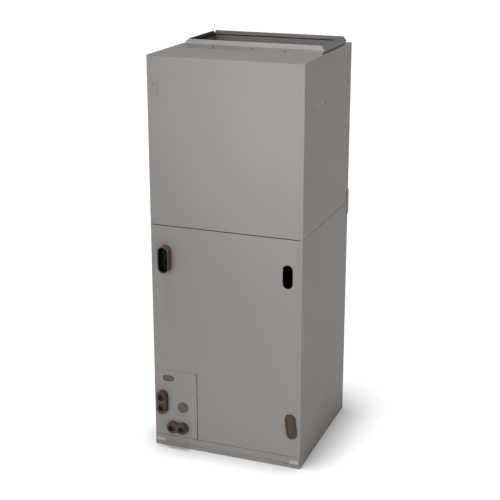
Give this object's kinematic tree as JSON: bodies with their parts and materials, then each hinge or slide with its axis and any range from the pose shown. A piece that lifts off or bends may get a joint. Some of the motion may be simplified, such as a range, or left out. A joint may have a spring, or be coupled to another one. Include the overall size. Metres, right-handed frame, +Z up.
{
  "type": "air handling unit",
  "caption": "Upright indoor air handling unit: a two-section sheet-metal cabinet with a flanged supply opening on top, screwed access panels and obround drain ports.",
  "frame": {"origin": "centre of the overall footprint, on the floor", "axes": "+Z up, the front with its doors faces -Y, +X is to the right as seen from the front"},
  "size_m": [0.5394, 0.537, 1.4005],
  "materials": {
    "painted_steel": "satin powder coat, warm grey",
    "galvanised_steel": "bare galvanised",
    "dark_plastic": "dark brown moulded",
    "grey_plug": "dark grey",
    "liner": "dark faced insulation",
    "gasket_foam": "closed-cell foam",
    "filter_media": "pleated media in a card frame",
    "pan_plastic": "black moulded pan",
    "coil_fins": "finned",
    "motor_paint": "black"
  },
  "bodies": {
    "root": {"base_pan": "galvanised_steel", "base_tab_left": "galvanised_steel", "base_tab_right": "galvanised_steel", "blower_access_door": "painted_steel", "blower_deck": "galvanised_steel", "blower_housing": "galvanised_steel", "blower_motor": "motor_paint", "blower_wheel": "galvanised_steel", "bottom_drain_pan": "pan_plastic", "breaker_knockout": "painted_steel", "centre_rail": "galvanised_steel", "coil_access_door": "painted_steel", "coil_slab_left": "coil_fins", "coil_slab_right": "coil_fins", "coil_top_cap": "galvanised_steel", "drain_boss_bottom": "dark_plastic", "drain_boss_lower_left": "dark_plastic", "drain_collar_upper_left": "dark_plastic", "drain_plug_lower_right": "dark_plastic", "filter_access_cover": "painted_steel", "filter_rail_left": "galvanised_steel", "filter_rail_right": "galvanised_steel", "front_base_rail": "painted_steel", "heater_bay_partition": "galvanised_steel", "liquid_line_plug": "grey_plug", "lower_back": "painted_steel", "lower_side_left": "painted_steel", "lower_side_right": "painted_steel", "motor_mount": "galvanised_steel", "rear_bracket_left": "painted_steel", "rear_bracket_right": "painted_steel", "return_filter": "filter_media", "section_gasket": "gasket_foam", "side_drain_pan": "pan_plastic", "suction_line_plug": "grey_plug", "supply_flange_back": "painted_steel", "supply_flange_front": "painted_steel", "supply_flange_left": "painted_steel", "supply_flange_right": "painted_steel", "top_panel": "painted_steel", "tubing_plate": "painted_steel", "upper_back": "painted_steel", "upper_liner": "liner", "upper_side_left": "painted_steel", "upper_side_right": "painted_steel"}
  },
  "joints": []
}
